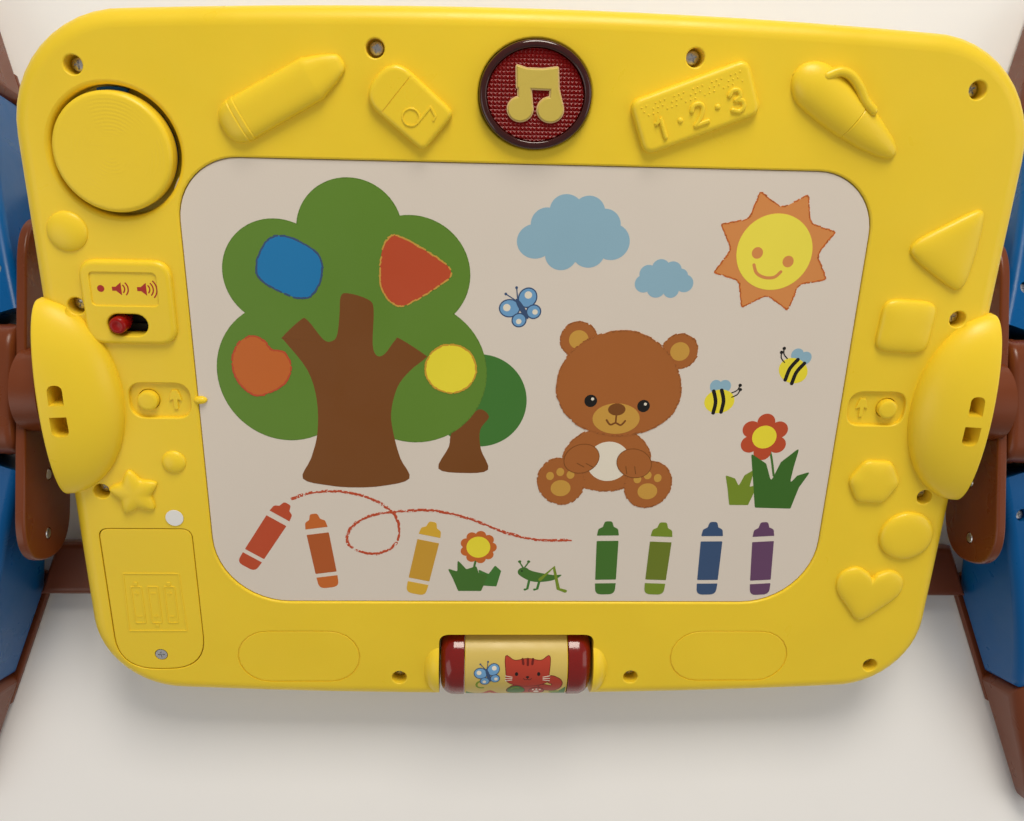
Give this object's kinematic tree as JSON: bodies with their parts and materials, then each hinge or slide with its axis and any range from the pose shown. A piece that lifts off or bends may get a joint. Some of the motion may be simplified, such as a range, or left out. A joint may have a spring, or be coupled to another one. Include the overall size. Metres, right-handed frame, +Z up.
{
  "type": "kids drawing activity board on a tilting floor stand",
  "caption": "Child's electronic drawing board with note button, spinner, roller and volume switch, tilting on a low floor stand.",
  "frame": {"origin": "on the floor, under the middle of the tilt axis, midway between the four feet", "axes": "+X to the right seen from the drawing side, +Y to the rear, where the board is raised, +Z up"},
  "size_m": [0.7674, 0.5258, 0.173],
  "materials": {
    "yellow_plastic": "moulded, semi-gloss, light scuffs",
    "white_panel": "smooth printed drawing surface",
    "red_lens": "translucent, faceted, glossy",
    "dark_red_plastic": "translucent, glossy",
    "red_plastic": "moulded, glossy",
    "blue_plastic": "moulded, semi-gloss",
    "brown_plastic": "moulded, satin",
    "black_plastic": "moulded",
    "circuit_board": "solder mask",
    "sticker": "adhesive label",
    "battery_jacket": "printed jacket",
    "steel": "zinc plated"
  },
  "bodies": {
    "stand": {"side_frame_left": "brown_plastic", "hub_plate_left": "brown_plastic", "leg_cover_front_left": "blue_plastic", "foot_shoe_front_left": "brown_plastic", "leg_cover_rear_left": "blue_plastic", "foot_shoe_rear_left": "brown_plastic", "side_frame_right": "brown_plastic", "hub_plate_right": "brown_plastic", "leg_cover_front_right": "blue_plastic", "foot_shoe_front_right": "brown_plastic", "leg_cover_rear_right": "blue_plastic", "foot_shoe_rear_right": "brown_plastic", "cross_bar_front": "brown_plastic", "cross_bar_rear": "brown_plastic"},
    "board": {"front_casing": "yellow_plastic", "back_casing": "yellow_plastic", "drawing_panel": "white_panel", "round_sticker": "sticker", "case_screw_1": "steel", "case_screw_2": "steel", "case_screw_3": "steel", "case_screw_4": "steel", "case_screw_5": "steel", "case_screw_6": "steel", "case_screw_7": "steel", "case_screw_8": "steel", "case_screw_9": "steel", "case_screw_10": "steel", "case_screw_11": "steel", "note_lamp": "white_panel", "note_switch": "black_plastic", "volume_switch": "black_plastic", "battery_box": "black_plastic", "speaker": "black_plastic", "note_circuit_board": "circuit_board", "main_circuit_board": "circuit_board", "release_spring_left": "steel", "release_spring_right": "steel", "battery_1": "battery_jacket", "battery_2": "battery_jacket", "battery_3": "battery_jacket"},
    "note_button": {"note_lens": "red_lens", "note_rim": "dark_red_plastic", "note_emblem": "yellow_plastic"},
    "spinner": {"spinner_disc": "yellow_plastic", "spinner_ring": "blue_plastic", "spinner_dial": "blue_plastic", "spinner_axle": "steel"},
    "volume": {"volume_knob": "red_plastic"},
    "release_left": {"release_button_left": "yellow_plastic"},
    "latch_left": {"latch_bolt_left": "black_plastic"},
    "release_right": {"release_button_right": "yellow_plastic"},
    "latch_right": {"latch_bolt_right": "black_plastic"},
    "battery_cover": {"battery_door": "yellow_plastic", "battery_door_screw": "steel"},
    "roller": {"roller_drum": "yellow_plastic", "roller_cap_left": "dark_red_plastic", "roller_cap_right": "dark_red_plastic", "roller_axle": "steel"}
  },
  "joints": [
    {"name": "board_tilt", "type": "hinge", "parent": "stand", "child": "board", "pos_m": [0, 0, 0.095], "axis": [1, 0, 0], "range_deg": [-20, 4]},
    {"name": "note_press", "type": "slide", "parent": "board", "child": "note_button", "axis": [0, 0.342, -0.9397], "range_m": [0, 0.0025], "stiffness_N_per_m": 400, "springref_m": -0.001},
    {"name": "spinner_turn", "type": "hinge", "parent": "board", "child": "spinner", "pos_m": [-0.194, 0.10998, 0.15099], "axis": [0, -0.342, 0.9397], "continuous": true},
    {"name": "volume_slide", "type": "slide", "parent": "board", "child": "volume", "axis": [1, 0, 0], "range_m": [0, 0.0086]},
    {"name": "release_left_press", "type": "slide", "parent": "board", "child": "release_left", "axis": [0, 0.342, -0.9397], "range_m": [0, 0.003], "stiffness_N_per_m": 300, "springref_m": -0.001},
    {"name": "latch_left_slide", "type": "slide", "parent": "board", "child": "latch_left", "axis": [1, 0, 0], "range_m": [0, 0.0035]},
    {"name": "release_right_press", "type": "slide", "parent": "board", "child": "release_right", "axis": [0, 0.342, -0.9397], "range_m": [0, 0.003], "stiffness_N_per_m": 300, "springref_m": -0.001},
    {"name": "latch_right_slide", "type": "slide", "parent": "board", "child": "latch_right", "axis": [-1, 0, 0], "range_m": [0, 0.0035]},
    {"name": "battery_cover_open", "type": "hinge", "parent": "board", "child": "battery_cover", "pos_m": [-0.203, -0.0746, 0.0836], "axis": [-1, 0, 0], "range_deg": [0, 80]},
    {"name": "roller_spin", "type": "hinge", "parent": "board", "child": "roller", "pos_m": [0, -0.15552, 0.0384], "axis": [1, 0, 0], "continuous": true}
  ],
  "couplings": [
    {"joint": "latch_left_slide", "follows": "release_left_press", "ratio": 1.1666},
    {"joint": "latch_right_slide", "follows": "release_right_press", "ratio": 1.1666}
  ]
}
